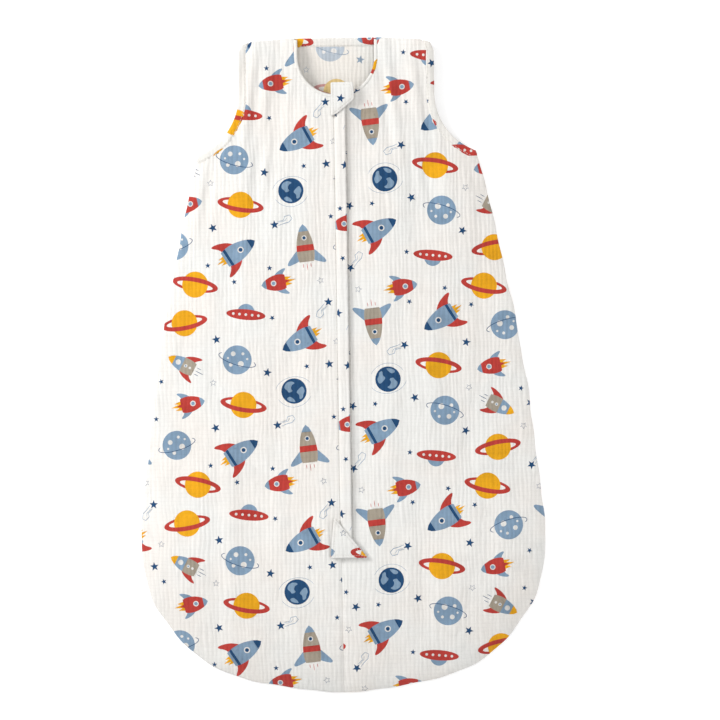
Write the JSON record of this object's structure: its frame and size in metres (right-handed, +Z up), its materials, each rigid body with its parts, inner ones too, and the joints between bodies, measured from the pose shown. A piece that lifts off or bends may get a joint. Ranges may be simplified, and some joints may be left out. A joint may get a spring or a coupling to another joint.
{
  "type": "baby sleeping bag",
  "caption": "Sleeveless wearable sleeping bag for a baby, flat on its back, with a round foot end and a covered front zip whose edges fold open.",
  "frame": {"origin": "under the middle of the bag's length and width, on the surface that it lies on", "axes": "+Y towards the head, +X to the right seen from above the front, +Z up out of the front"},
  "size_m": [0.434, 0.7, 0.0318],
  "materials": {
    "printed_muslin": "crinkled double gauze, printed",
    "lining_muslin": "crinkled double gauze, plain",
    "binding": "bias strip, topstitched",
    "zip_tape": "woven tape",
    "zip_coil": "nylon coil",
    "zip_metal": "enamelled",
    "label": "satin ribbon, blank"
  },
  "bodies": {
    "bag": {"back_lining": "lining_muslin", "back_neck_band": "binding", "back_panel": "printed_muslin", "care_label": "label", "left_armhole_binding_back": "binding", "left_armhole_binding_front": "binding", "left_front_lining": "lining_muslin", "left_front_panel": "printed_muslin", "left_neck_side_binding": "binding", "right_armhole_binding_back": "binding", "right_armhole_binding_front": "binding", "right_front_lining": "lining_muslin", "right_front_panel": "printed_muslin", "right_neck_side_binding": "binding", "zip_bottom_stop": "zip_coil", "zip_cover_end": "printed_muslin", "zip_garage": "printed_muslin", "zip_lower_coil_left": "zip_coil", "zip_lower_coil_right": "zip_coil", "zip_lower_tapes": "zip_tape"},
    "left_lapel": {"left_lapel_panel": "printed_muslin", "left_lapel_lining": "lining_muslin", "left_neck_binding": "binding", "zip_tape_left": "zip_tape", "zip_coil_left": "zip_coil", "zip_top_stop_left": "zip_coil", "zip_cover": "printed_muslin", "zip_guard": "lining_muslin"},
    "right_lapel": {"right_lapel_panel": "printed_muslin", "right_lapel_lining": "lining_muslin", "right_neck_binding": "binding", "zip_tape_right": "zip_tape", "zip_coil_right": "zip_coil", "zip_top_stop_right": "zip_coil"},
    "slider": {"zip_slider": "zip_metal"},
    "pull": {"zip_pull": "zip_metal"},
    "chin_flap": {"chin_guard": "printed_muslin"}
  },
  "joints": [
    {"name": "zip_slide", "type": "slide", "parent": "bag", "child": "slider", "axis": [0, -0.9997, 0.0235], "range_m": [0, 0.428]},
    {"name": "left_lapel_fold", "type": "hinge", "parent": "bag", "child": "left_lapel", "pos_m": [-0.002, -0.203, 0.0265], "axis": [0.0703, -0.9972, 0.0242], "range_deg": [0, 100], "deforming": ["zip_tape_left", "zip_coil_left", "zip_guard"]},
    {"name": "right_lapel_fold", "type": "hinge", "parent": "bag", "child": "right_lapel", "pos_m": [-0.002, -0.203, 0.0265], "axis": [0.0779, 0.9967, -0.0242], "range_deg": [0, 100], "deforming": ["zip_tape_right", "zip_coil_right"]},
    {"name": "chin_guard_fold", "type": "hinge", "parent": "left_lapel", "child": "chin_flap", "pos_m": [-0.0059, 0.28194, 0.01762], "axis": [0, -0.9997, 0.0235], "range_deg": [0, 150]},
    {"name": "pull_swing", "type": "hinge", "parent": "slider", "child": "pull", "pos_m": [0.0035, 0.27589, 0.01561], "axis": [1, 0, 0], "range_deg": [0, 90]}
  ],
  "couplings": [
    {"joint": "left_lapel_fold", "follows": "zip_slide", "rad_per_m": 4.07},
    {"joint": "right_lapel_fold", "follows": "zip_slide", "rad_per_m": 4.07},
    {"joint": "pull_swing", "follows": "chin_guard_fold", "ratio": 0.6}
  ]
}
